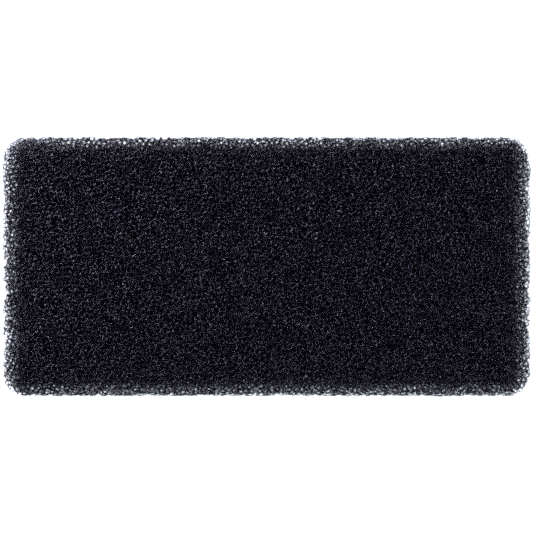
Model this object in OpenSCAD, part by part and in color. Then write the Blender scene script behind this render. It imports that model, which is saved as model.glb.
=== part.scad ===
// Flat foam element of a small-engine air filter: one pad of reticulated
// polyurethane foam, cut square-edged from sheet, with rounded corners in plan.
//
// The pad lies on the plane z = 0. Its origin is the centre of its lower face,
// +X runs along its length, +Y across its width and +Z up through its thickness.
// All sizes are in millimetres.

/* [Pad] */
// Length along X, over the rounded ends
pad_length = 160; // [80:1:300]
// Width along Y
pad_width = 78.5; // [50:0.5:150]
// Thickness of the foam sheet
pad_thickness = 6.5; // [3:0.5:30]

/* [Cut outline] */
// Radius of the four corners in plan
corner_r = 7; // [2:0.5:20]

/* [Hidden] */

foam_colour = [0.09, 0.09, 0.11];

// Segments of a full circle, for the preview mesh only
corner_fn = 96;

// Centres of the corner arcs, measured from the middle of the pad
corner_x = pad_length / 2 - corner_r;
corner_y = pad_width / 2 - corner_r;

// The line that the cutting die follows: a rectangle with four rounded corners
module die_outline() {
    square([pad_length, 2 * corner_y], center = true);
    square([2 * corner_x, pad_width], center = true);
    for (sx = [-1, 1], sy = [-1, 1])
        translate([sx * corner_x, sy * corner_y])
            circle(r = corner_r, $fn = corner_fn);
}

// The pad: the die's outline through the whole thickness of the sheet
module foam_element() {
    color(foam_colour)
        linear_extrude(height = pad_thickness)
            die_outline();
}

foam_element();
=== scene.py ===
"""The foam element of a small-engine air filter: a die-cut pad of black reticulated foam.

Such foam is an open network of struts, and the pad is built as that network. Its cells
grow from seeds on a jittered, sheared body-centred lattice. The corners of the seeds'
Voronoi cells become the foam's nodes, the edges between three cells become its struts,
and the network is cut off flush at the faces of the CAD solid. On the sides the cut ends
are linked, which real ones mostly aren't, to give a crisp outline. Lengths are in metres.
"""
import itertools
import math

import bpy
import numpy as np
from mathutils import Euler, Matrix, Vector


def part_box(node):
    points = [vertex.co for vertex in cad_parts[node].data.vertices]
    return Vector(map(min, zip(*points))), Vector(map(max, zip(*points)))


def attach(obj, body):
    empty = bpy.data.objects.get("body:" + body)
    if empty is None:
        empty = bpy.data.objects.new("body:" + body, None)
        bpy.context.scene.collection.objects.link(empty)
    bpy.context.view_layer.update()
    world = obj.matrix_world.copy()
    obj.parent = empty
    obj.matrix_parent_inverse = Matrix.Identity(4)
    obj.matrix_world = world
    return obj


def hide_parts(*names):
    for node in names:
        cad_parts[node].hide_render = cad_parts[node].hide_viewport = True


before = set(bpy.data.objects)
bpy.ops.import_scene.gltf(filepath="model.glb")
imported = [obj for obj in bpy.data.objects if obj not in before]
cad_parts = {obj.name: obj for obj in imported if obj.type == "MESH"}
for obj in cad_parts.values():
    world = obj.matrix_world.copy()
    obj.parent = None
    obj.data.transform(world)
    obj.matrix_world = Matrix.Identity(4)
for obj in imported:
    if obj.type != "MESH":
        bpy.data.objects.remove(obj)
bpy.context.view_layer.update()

# The foam's cells
CELL_SIZE = 0.00185  # diameter of a sphere that holds as much as an average cell
EDGE = (math.pi / 3) ** (1 / 3) * CELL_SIZE  # of the lattice, which has two cells to a cube
JITTER = 0.28  # how far a seed strays from its lattice site, in lattice edges
SHEAR = 0.22  # height of each wave that shears the lattice, in lattice edges
SHEAR_LENGTHS = (6, 9, 13)  # of those waves, in lattice edges
WAVES_PER_LENGTH = 3
LATTICE_TILT = (34, 21, 13)  # degrees about X, Y and Z
REACH = 12  # square of the longest step between seeds whose cells meet, in half edges
RIM = 1.6  # how far past the pad its cells are worked out, in lattice edges
SPARE_SITES = 4  # further out than that, in half edges, so that every cell has neighbours
BATCH = 400  # cells worked out at a time, to save memory
FAR_OFF = 9  # where the neighbours that a cell lacks are put, in lattice edges
FLAT = 1e-6  # volume of a cell corner too flat to have a centre, in cubed lattice edges
ROUNDING = 1e-9  # slack in comparing distances, in squared lattice edges
SEED = 20

# The foam's struts
RELAX_ROUNDS = 12  # in which short struts push their ends apart
RELAX_RATE = 0.14  # share of the way that a node moves in a round
SHORTEST = 0.02  # length that a strut is taken to have at least, in lattice edges
REST_LENGTH = 0.354  # of a strut, in lattice edges
NODE_RADIUS = 0.08  # from a node's centre to its four corners, in lattice edges
THICKNESS_SPREAD = 0.15  # share by which a node may be thicker or thinner than that
SHORTEST_STUB = 0.02  # of a cut strut, as a share of its length
CUT_ROUNDS = 16  # of halving, to find where a strut is cut
LONGEST_LINK = 1.2  # between cut ends on the sides, in lattice edges
LINK_RADIUS = 0.07  # of the links between cut ends on the sides, in lattice edges
TWIG_ROUNDS = 3  # of taking away the nodes that hang on by one strut
RINGS = np.array([[k for k in range(4) if k != left_out] for left_out in range(4)])

# The cut pad
CORNER_RADIUS = 0.007
PINCH = 0.0006  # how far the cut sides are pushed in, for a crisper outline
PINCH_DEPTH = 0.0012  # how deep in from the sides that push fades
ON_SIDE = 0.000001  # how near a side a cut end on it lies
EDGE_WAVE = 0.00006  # how far the cut sides wander from the die's line
WAVE_LENGTHS = (0.045, 0.022, 0.012, 0.007)
WAVE_RISE = 0.25  # how far those waves lean over with height
TILES_X, TILES_Y = 7, 4  # the network is split in plan into this many objects

# The foam's surface
DARK_PATCH = (0.0012, 0.001, 0.005, 1)
GREY_PATCH = (0.0017, 0.0014, 0.0058, 1)
PATCH_SCALE = 70.0  # of the noise, in waves to a metre
SPECULAR_LEVEL = 0.28
ROUGHNESS = (0.2, 0.31)  # of the glossiest and the dullest skin
SKIN_SCALE = 900.0
WRINKLE_DEPTH = 0.00002
WRINKLE_STRENGTH = 0.3
WRINKLE_SCALE = 6000.0

# The picture
CAMERA_FIELD = 44.0  # degrees across the picture
PAD_SHARE = 528 / 533  # of the picture's width that the pad's length takes up
PIXEL_BLUR = 1.9  # width of the camera's pixel filter, in pixels
FLOOR_HALF = 1.5  # half the floor's width
FLOOR_GAP = 0.00005  # between the floor and the pad
FLOOR_COLOUR = (0.3, 0.3, 0.3, 1)
FLOOR_GLOW = 1.18
GLOW_COLOUR = (0.85, 0.93, 1.0, 1)
PAINTED_SHADOW_FADE = 0.003  # how far in from the pad's sides the floor's glow fades out into the painted shadow under the pad
WORLD_COLOUR = (0.8, 0.8, 1.0)
WORLD_LIGHT = 0.05
LIGHT_COLOUR = (0.83, 0.79, 1.0)
LIGHT_SIZE = 0.15
LIGHTS = (  # name, place and watts
    ("key", (-0.35, 0.35, 0.25), 9.0),
    ("low", (-0.25, 0.25, 0.06), 1.7),
    ("right", (0.45, 0.15, 0.25), 2.5),
    ("front", (-0.05, -0.45, 0.25), 2.5),
)


def unit(v):
    """Vectors of length 1 in the directions of v."""
    return v / np.linalg.norm(v, axis=-1, keepdims=True).clip(1e-12)


# ---- The cells


def shear(sites, rng):
    """A slow random shear of the lattice, in its edges, that hides its straight rows."""
    moved = np.zeros(sites.shape)
    for length in SHEAR_LENGTHS:
        for _ in range(WAVES_PER_LENGTH):
            along = unit(rng.normal(size=3))
            across = unit(np.cross(along, rng.normal(size=3)))
            wave = np.sin(math.tau / length * sites @ along + rng.uniform(0, math.tau))
            moved += SHEAR * across * wave[:, None]
    return moved


def jittered_seeds(low, high, rng):
    """Seeds of the cells in and round a box, and a table that finds them by lattice site.

    The sites are the points of a grid of half edges whose three numbers are all even or
    all odd. Gives the seeds, their places in the table, the table of their numbers, and
    which of them lie in the box. The others only serve as neighbours.
    """
    tilt = np.array(Euler([math.radians(a) for a in LATTICE_TILT]).to_matrix())
    corners = np.array(list(itertools.product(*zip(low, high)))) @ tilt.T / EDGE
    first = np.floor(2 * corners.min(0)).astype(int) - SPARE_SITES
    last = np.ceil(2 * corners.max(0)).astype(int) + SPARE_SITES
    ranges = [np.arange(a, b) for a, b in zip(first, last)]
    grid = np.stack(np.meshgrid(*ranges, indexing="ij"), -1)
    odd = grid % 2
    on_lattice = (odd[..., 0] == odd[..., 1]) & (odd[..., 1] == odd[..., 2])
    place = grid / 2 * EDGE @ tilt
    wide = SPARE_SITES / 2 * EDGE
    held = on_lattice & ((place > low - wide) & (place < high + wide)).all(-1)
    inner = ((place > low) & (place < high)).all(-1)[held]
    number = np.full(held.shape, -1)
    number[held] = np.arange(held.sum())
    site = grid[held]
    stray = rng.uniform(-JITTER, JITTER, site.shape) + shear(site / 2, rng)
    return (site / 2 + stray) * EDGE @ tilt, site - first, number, inner


def neighbour_steps():
    """Steps from a site to the sites whose cells may meet its own, nearest first."""
    steps = itertools.product(range(-3, 4), repeat=3)
    on_lattice = [d for d in steps if len({c % 2 for c in d}) == 1]
    near = [d for d in on_lattice if 0 < sum(c * c for c in d) <= REACH]
    return sorted(near, key=lambda d: sum(c * c for c in d))


def neighbour_triples(steps):
    """Every three later steps that are near each other, as tables of their numbers.

    Gives the pairs of steps, the triples, and for each triple its three pairs.
    """
    near = set(steps)
    later = [n for n, d in enumerate(steps) if d > (0, 0, 0)]

    def close(a, b):
        return tuple(y - x for x, y in zip(steps[a], steps[b])) in near

    pairs = [p for p in itertools.combinations(later, 2) if close(*p)]
    number = {p: n for n, p in enumerate(pairs)}
    triples = []
    for t in itertools.combinations(later, 3):
        if all(p in number for p in itertools.combinations(t, 2)):
            triples.append(t)
    pairs_of = [[number[(j, k)], number[(i, k)], number[(i, j)]] for i, j, k in triples]
    return np.array(pairs), np.array(triples), np.array(pairs_of)


def voronoi_corners(seeds, site, number, inner):
    """The four seeds round each corner of the Voronoi cells, and the corner's place.

    A seed and three later neighbours meet at a corner if no other neighbour is nearer to
    the centre of the sphere through all four.
    """
    steps = neighbour_steps()
    pairs, triples, pairs_of = neighbour_triples(steps)
    shells = [slice(n, n + 10) for n in range(0, len(steps), 10)]
    groups, places = [], []
    inside = np.nonzero(inner)[0]
    for batch in np.array_split(inside, len(inside) // BATCH + 1):
        there = site[batch][:, None] + np.array(steps)
        near = number[there[..., 0], there[..., 1], there[..., 2]]
        v = seeds[near] - seeds[batch][:, None]
        v = np.where(near[..., None] >= 0, v, FAR_OFF * EDGE)
        half = (v * v).sum(2) / 2
        cross = np.cross(v[:, pairs[:, 0]], v[:, pairs[:, 1]])
        volume = np.einsum("ntc,ntc->nt", v[:, triples[:, 0]], cross[:, pairs_of[:, 0]])
        centre = half[:, triples[:, 0], None] * cross[:, pairs_of[:, 0]]
        centre -= half[:, triples[:, 1], None] * cross[:, pairs_of[:, 1]]
        centre += half[:, triples[:, 2], None] * cross[:, pairs_of[:, 2]]
        centre /= np.where(np.abs(volume) < FLAT * EDGE**3, np.nan, volume)[..., None]
        n, t = np.nonzero(np.einsum("ntc,ntc->nt", centre, centre) < EDGE**2)
        centre = centre[n, t]
        for shell in shells:
            reach = np.einsum("nc,nkc->nk", centre, v[n, shell])
            empty = (reach <= half[n, shell] + ROUNDING * EDGE**2).all(1)
            n, t, centre = n[empty], t[empty], centre[empty]
        groups.append(np.column_stack([batch[n], near[n[:, None], triples[t]]]))
        places.append(seeds[batch[n]] + centre)
    return np.sort(np.concatenate(groups), 1), np.concatenate(places)


def corners_across(groups, total):
    """What lies beyond each corner, along the edge that leaves out each of its seeds.

    An entry is 4 times the other corner's number plus the place of the seed that it
    leaves out there, or -1 where there isn't exactly one other corner.
    """
    keys = []
    for ring in RINGS:
        a, b, c = groups[:, ring].T
        keys.append((a * total + b) * total + c)
    keys = np.stack(keys, 1).reshape(-1)
    order = np.argsort(keys, kind="stable")
    alike = np.append(keys[order[1:]] == keys[order[:-1]], False)
    paired = np.nonzero(alike & ~np.roll(alike, 1) & ~np.roll(alike, -1))[0]
    one, two = order[paired], order[paired + 1]
    across = np.full(len(keys), -1)
    across[one], across[two] = two, one
    return across.reshape(-1, 4)


# ---- The struts


def relaxed(places, across):
    """Moves the nodes so that no strut is very short, as surface tension does in foam."""
    linked = (across >= 0).all(1)[:, None]
    for _ in range(RELAX_ROUNDS):
        along = places[across // 4] - places[:, None]
        length = np.linalg.norm(along, axis=2, keepdims=True).clip(SHORTEST * EDGE)
        pull = (along * (1 - REST_LENGTH * EDGE / length)).sum(1)
        places = places + np.where(linked, RELAX_RATE * pull, 0)
    return places


def node_corners(places, across, around, rng):
    """The four corners of each node, one towards each of the four cells round it."""
    strut = unit(places[across // 4] - places[:, None])
    cell = unit(around - places[:, None])
    radius = rng.uniform(1 - THICKNESS_SPREAD, 1 + THICKNESS_SPREAD, (len(places), 1, 1))
    return places[:, None] + NODE_RADIUS * EDGE * radius * unit(cell - strut)


def side_wave(rng):
    """A slow random ripple of the cut sides, so that they aren't perfectly straight."""
    waves = []
    for length in WAVE_LENGTHS:
        angle = rng.uniform(0, math.tau)
        along = np.array([math.cos(angle), math.sin(angle), WAVE_RISE])
        waves.append((math.tau / length * along, rng.uniform(0, math.tau), length**0.5))
    scale = EDGE_WAVE / sum(height for _, _, height in waves)

    def wave(p):
        return scale * sum(height * np.sin(p @ k + phase) for k, phase, height in waves)

    return wave


def side_of(p, box):
    """How far points lie outside the unpinched pad's sides in plan, and which way is out."""
    low, high = box[:, :2]
    off = p[..., :2] - (low + high) / 2
    radius = CORNER_RADIUS + PINCH
    past = np.abs(off) - (high - low) / 2 - PINCH + radius
    distance = np.linalg.norm(past.clip(0), axis=-1) + past.max(-1).clip(None, 0) - radius
    return distance, unit(past.clip(0)) * np.sign(off)


def outside(p, box, wave):
    """How far points lie outside the unpinched pad: positive outside, negative inside."""
    side = side_of(p, box)[0] + wave(p)
    return np.maximum(side, np.abs(p[..., 2] - box[:, 2].mean()) - np.ptp(box[:, 2]) / 2)


def pinched(points, box):
    """Points with the layer next to the cut sides pressed in, denser towards the sides."""
    distance, out = side_of(points, box)
    push = PINCH * np.exp(distance.clip(None, 0) / PINCH_DEPTH)
    return points - np.pad(push[:, None] * out, ((0, 0), (0, 1)))


def cut_points(inner, outer, box, wave):
    """Where the lines from points inside to points outside meet the pad's surface.

    A point that is outside already keeps a stub, so that no face shrinks to nothing.
    """
    low, high = np.full(inner.shape[:-1], SHORTEST_STUB), np.ones(inner.shape[:-1])
    for _ in range(CUT_ROUNDS):
        middle = (low + high) / 2
        out = outside(inner + middle[..., None] * (outer - inner), box, wave) > 0
        high, low = np.where(out, middle, high), np.where(out, low, middle)
    return inner + low[..., None] * (outer - inner)


def side_links(ends, cells, box, wave):
    """Which cut ends are linked along the cut sides, as pairs of their numbers.

    Real cut ends mostly hang loose. The links are only there to close the outline. Each
    joins two ends on the rim of one cut window, which lies between the same two cells.
    """
    total = cells.max() + 1
    pairs = ((0, 1), (1, 2), (0, 2))
    keys = np.stack([cells[:, p] * total + cells[:, q] for p, q in pairs], 1).reshape(-1)
    order = np.argsort(keys, kind="stable")
    same = np.nonzero(keys[order[1:]] == keys[order[:-1]])[0]
    links = np.column_stack([order[same], order[same + 1]]) // 3
    on_side = side_of(ends, box)[0] + wave(ends) > -ON_SIDE
    length = np.linalg.norm(ends[links[:, 0]] - ends[links[:, 1]], axis=1)
    return links[on_side[links].all(1) & (length < LONGEST_LINK * EDGE)]


def bars(one, two):
    """Closed three-sided bars between two rows of places: their points and triangles."""
    along = unit(two - one)
    aside = np.array([0.31, 0.52, 0.8])  # any direction that no bar happens to take
    across = unit(np.cross(along, aside))
    third = np.cross(along, across)
    points = []
    for end in (one, two):
        for angle in (0, math.tau / 3, 2 * math.tau / 3):
            spoke = math.cos(angle) * across + math.sin(angle) * third
            points.append(end + LINK_RADIUS * EDGE * spoke)
    points = np.stack(points, 1)
    sides = [[p, q, q + 3] for p, q in ((0, 1), (1, 2), (2, 0))]
    sides += [[p, q + 3, p + 3] for p, q in ((0, 1), (1, 2), (2, 0))]
    faces = np.array([*sides, [2, 1, 0], [3, 4, 5]])
    return points, 6 * np.arange(len(one))[:, None, None] + faces


def kept_nodes(places, across, box, wave):
    """Which nodes are in the pad, without the twigs that hang on by one strut."""
    kept = (outside(places, box, wave) < 0) & (across >= 0).all(1)
    for _ in range(TWIG_ROUNDS):
        kept &= kept[across // 4].sum(1) >= 2
    return kept


def tile_of(places, box):
    """The number of the tile, in plan, that each place is in."""
    low, high = np.array(box)[:, :2]
    tiles = np.array([TILES_X, TILES_Y])
    share = (places[:, :2] - low) / (high - low)
    column, row = (share * tiles).clip(0, tiles - 1).astype(int).T
    return column * TILES_Y + row


def foam_network(box, rng):
    """The foam inside the box: its points, its triangles and the tile of each triangle."""
    rim = RIM * EDGE
    seeds, site, number, inner = jittered_seeds(box[0] - rim, box[1] + rim, rng)
    groups, places = voronoi_corners(seeds, site, number, inner)
    across = corners_across(groups, len(seeds))
    places = relaxed(places, across)
    points = node_corners(places, across, seeds[groups], rng).reshape(-1, 3)
    wave = side_wave(rng)
    kept = kept_nodes(places, across, box, wave)

    # Each strut once, from a kept node to the node beyond, which may be cut away
    start, left_out = [n.ravel() for n in np.indices(across.shape)]
    beyond = across[start, left_out]
    end, end_left_out = beyond // 4, beyond % 4
    once = kept[start] & (~kept[end] | (start < end))
    start, left_out, end, end_left_out = [
        n[once] for n in (start, left_out, end, end_left_out)
    ]
    first = 4 * start[:, None] + RINGS[left_out]
    last = 4 * end[:, None] + RINGS[end_left_out]
    cut = ~kept[end]
    ends = cut_points(points[first[cut]], points[last[cut]], box, wave).reshape(-1, 3)
    last[cut] = len(points) + np.arange(len(ends)).reshape(-1, 3)
    points = np.concatenate([points, ends])

    # The three corners run anticlockwise, seen from the strut's far end. The strut leads
    # away from the seed that it leaves out.
    ring = seeds[groups[start[:, None], RINGS[left_out]]]
    turn = np.cross(ring[:, 1] - ring[:, 0], ring[:, 2] - ring[:, 0])
    back = (turn * (seeds[groups[start, left_out]] - ring[:, 0])).sum(1) > 0
    first[back], last[back] = first[back][:, ::-1], last[back][:, ::-1]

    # The struts' sides, three to a strut, in the tile that the strut starts in
    tile, end_tile = tile_of(places[start], box), tile_of(places[end], box)
    faces, owner = [], []
    for p, q in ((0, 1), (1, 2), (2, 0)):
        faces.append(np.column_stack([first[:, p], first[:, q], last[:, q]]))
        faces.append(np.column_stack([first[:, p], last[:, q], last[:, p]]))
        owner += [tile, tile]

    # Caps on the cut ends, and on both sides where a strut runs on into another tile
    crossing = ~cut & (tile != end_tile)
    faces += [last[cut | crossing], last[crossing][:, ::-1]]
    owner += [tile[cut | crossing], end_tile[crossing]]

    # Links between the middles of the cut ends on the sides
    ends = ends.reshape(-1, 3, 3).mean(1)
    links = side_links(ends, groups[start[cut, None], RINGS[left_out[cut]]], box, wave)
    ends = pinched(ends, box)
    bar_points, bar_faces = bars(ends[links[:, 0]], ends[links[:, 1]])
    faces.append(bar_faces.reshape(-1, 3) + len(points))
    owner.append(np.repeat(tile[cut][links[:, 0]], bar_faces.shape[1]))
    points = np.concatenate([pinched(points, box), bar_points.reshape(-1, 3)])
    return points, np.concatenate(faces), np.concatenate(owner)


def mesh_object(name, points, triangles, material):
    """An object with the given triangles, holding only the points that they use."""
    used, corners = np.unique(triangles, return_inverse=True)
    mesh = bpy.data.meshes.new(name)
    mesh.vertices.add(len(used))
    mesh.vertices.foreach_set("co", points[used].astype(np.float32).ravel())
    mesh.loops.add(triangles.size)
    mesh.loops.foreach_set("vertex_index", corners.ravel().astype(np.int32))
    mesh.polygons.add(len(triangles))
    mesh.polygons.foreach_set("loop_start", np.arange(0, triangles.size, 3, dtype=np.int32))
    mesh.update(calc_edges=True)
    mesh.validate()
    mesh.materials.append(material)
    piece = bpy.data.objects.new(name, mesh)
    bpy.context.scene.collection.objects.link(piece)
    return piece


def make_pad():
    """The foam pad, in tiles that together stand for the CAD solid."""
    box = np.array(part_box("foam_element"))
    points, triangles, owner = foam_network(box, np.random.default_rng(SEED))
    material = foam_material()
    for tile in range(TILES_X * TILES_Y):
        name = f"foam_{tile // TILES_Y + 1}_{tile % TILES_Y + 1}"
        piece = mesh_object(name, points, triangles[owner == tile], material)
        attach(piece, "root")
        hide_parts("foam_element")


# ---- Materials


def add_node(tree, kind, **values):
    """A new node, with the named inputs or settings set to the given values."""
    node = tree.nodes.new(kind)
    for name, value in values.items():
        if name in node.inputs:
            node.inputs[name].default_value = value
        else:
            setattr(node, name, value)
    return node


def foam_material():
    """Black polyurethane with a violet cast: glossy struts, duller and paler where worn."""
    material = bpy.data.materials.new("black_foam")
    material.use_nodes = True
    tree = material.node_tree
    shader = tree.nodes["Principled BSDF"]
    shader.inputs["Specular IOR Level"].default_value = SPECULAR_LEVEL
    place = tree.nodes.new("ShaderNodeTexCoord").outputs["Object"]

    # Patches some 15 mm across where the foam is slightly greyer
    patches = add_node(tree, "ShaderNodeTexNoise", Scale=PATCH_SCALE, Detail=4.0, Roughness=0.6)
    tree.links.new(place, patches.inputs["Vector"])
    tint = tree.nodes.new("ShaderNodeValToRGB")
    tint.color_ramp.elements[0].position = 0.3
    tint.color_ramp.elements[0].color = DARK_PATCH
    tint.color_ramp.elements[1].position = 0.7
    tint.color_ramp.elements[1].color = GREY_PATCH
    tree.links.new(patches.outputs["Fac"], tint.inputs["Fac"])
    tree.links.new(tint.outputs["Color"], shader.inputs["Base Color"])

    # Skin that is glossy on some struts and dull on others
    skin = add_node(tree, "ShaderNodeTexNoise", Scale=SKIN_SCALE, Detail=2.0)
    tree.links.new(place, skin.inputs["Vector"])
    gloss = tree.nodes.new("ShaderNodeMapRange")
    gloss.inputs["From Min"].default_value = 0.3
    gloss.inputs["From Max"].default_value = 0.7
    gloss.inputs["To Min"].default_value = ROUGHNESS[0]
    gloss.inputs["To Max"].default_value = ROUGHNESS[1]
    tree.links.new(skin.outputs["Fac"], gloss.inputs["Value"])
    tree.links.new(gloss.outputs["Result"], shader.inputs["Roughness"])

    # Wrinkles along the struts
    wrinkles = add_node(tree, "ShaderNodeTexNoise", Scale=WRINKLE_SCALE, Detail=2.0)
    tree.links.new(place, wrinkles.inputs["Vector"])
    bump = add_node(tree, "ShaderNodeBump", Distance=WRINKLE_DEPTH)
    bump.inputs["Strength"].default_value = WRINKLE_STRENGTH
    tree.links.new(wrinkles.outputs["Fac"], bump.inputs["Height"])
    tree.links.new(bump.outputs["Normal"], shader.inputs["Normal"])
    return material


def floor_material_with_painted_shadow(half_length, half_width):
    """A ground that glows an even white, except for a painted shadow under the pad.

    There the glow is left out, as it would shine up through the open foam. The dark floor there
    is painted shade.
    """
    material = bpy.data.materials.new("white_floor_painted_shadow")
    material.use_nodes = True
    tree = material.node_tree
    shader = tree.nodes["Principled BSDF"]
    shader.inputs["Base Color"].default_value = FLOOR_COLOUR
    shader.inputs["Roughness"].default_value = 0.9
    shader.inputs["Emission Color"].default_value = GLOW_COLOUR
    place = tree.nodes.new("ShaderNodeTexCoord").outputs["Object"]
    size = add_node(tree, "ShaderNodeVectorMath", operation="ABSOLUTE")
    tree.links.new(place, size.inputs[0])
    past = add_node(tree, "ShaderNodeVectorMath", operation="SUBTRACT")
    past.inputs[1].default_value = (half_length, half_width, 0)
    tree.links.new(size.outputs[0], past.inputs[0])
    parts = tree.nodes.new("ShaderNodeSeparateXYZ")
    tree.links.new(past.outputs[0], parts.inputs[0])
    most = add_node(tree, "ShaderNodeMath", operation="MAXIMUM")
    tree.links.new(parts.outputs[0], most.inputs[0])
    tree.links.new(parts.outputs[1], most.inputs[1])
    # Painted shadow: the glow fades out to nothing under the pad, where the pad's shade falls
    glow_with_painted_shadow = add_node(tree, "ShaderNodeMapRange", interpolation_type="SMOOTHSTEP")
    glow_with_painted_shadow.inputs["From Min"].default_value = -PAINTED_SHADOW_FADE
    glow_with_painted_shadow.inputs["From Max"].default_value = 0.0
    glow_with_painted_shadow.inputs["To Max"].default_value = FLOOR_GLOW
    tree.links.new(most.outputs[0], glow_with_painted_shadow.inputs["Value"])
    tree.links.new(glow_with_painted_shadow.outputs[0], shader.inputs["Emission Strength"])
    return material


# ---- The studio


def make_floor():
    """A wide plain floor just under the pad."""
    low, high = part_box("foam_element")
    plan = ((-1, -1), (1, -1), (1, 1), (-1, 1))
    corners = [(x * FLOOR_HALF, y * FLOOR_HALF, low.z - FLOOR_GAP) for x, y in plan]
    mesh = bpy.data.meshes.new("floor")
    mesh.from_pydata(corners, [], [(0, 1, 2, 3)])
    mesh.materials.append(floor_material_with_painted_shadow(high.x, high.y))
    floor = bpy.data.objects.new("floor", mesh)
    bpy.context.scene.collection.objects.link(floor)


def make_camera():
    """A camera straight above the middle of the pad, as high as frames its length."""
    low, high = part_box("foam_element")
    camera = bpy.data.cameras.new("camera")
    camera.angle = math.radians(CAMERA_FIELD)
    across = (high.x - low.x) / PAD_SHARE
    height = across / 2 / math.tan(camera.angle / 2)
    eye = bpy.data.objects.new("camera", camera)
    eye.location = ((low.x + high.x) / 2, (low.y + high.y) / 2, high.z + height)
    bpy.context.scene.collection.objects.link(eye)
    bpy.context.scene.camera = eye


def soft_light(name, place, power):
    """A square panel light that faces the middle of the pad."""
    lamp = bpy.data.lights.new(name, "AREA")
    lamp.shape = "SQUARE"
    lamp.size = LIGHT_SIZE
    lamp.energy = power
    lamp.color = LIGHT_COLOUR
    panel = bpy.data.objects.new(name, lamp)
    panel.location = place
    panel.rotation_euler = Vector(place).to_track_quat("Z", "Y").to_euler()
    bpy.context.scene.collection.objects.link(panel)


def light_scene():
    """Four low panels and a dim grey sky."""
    world = bpy.data.worlds.new("studio")
    world.use_nodes = True
    sky = world.node_tree.nodes["Background"]
    sky.inputs["Color"].default_value = (*WORLD_COLOUR, 1)
    sky.inputs["Strength"].default_value = WORLD_LIGHT
    bpy.context.scene.world = world
    for name, place, power in LIGHTS:
        soft_light(name, place, power)
    bpy.context.scene.view_settings.view_transform = "Standard"
    bpy.context.scene.cycles.use_denoising = False
    bpy.context.scene.cycles.filter_width = PIXEL_BLUR


make_pad()
make_floor()
make_camera()
light_scene()
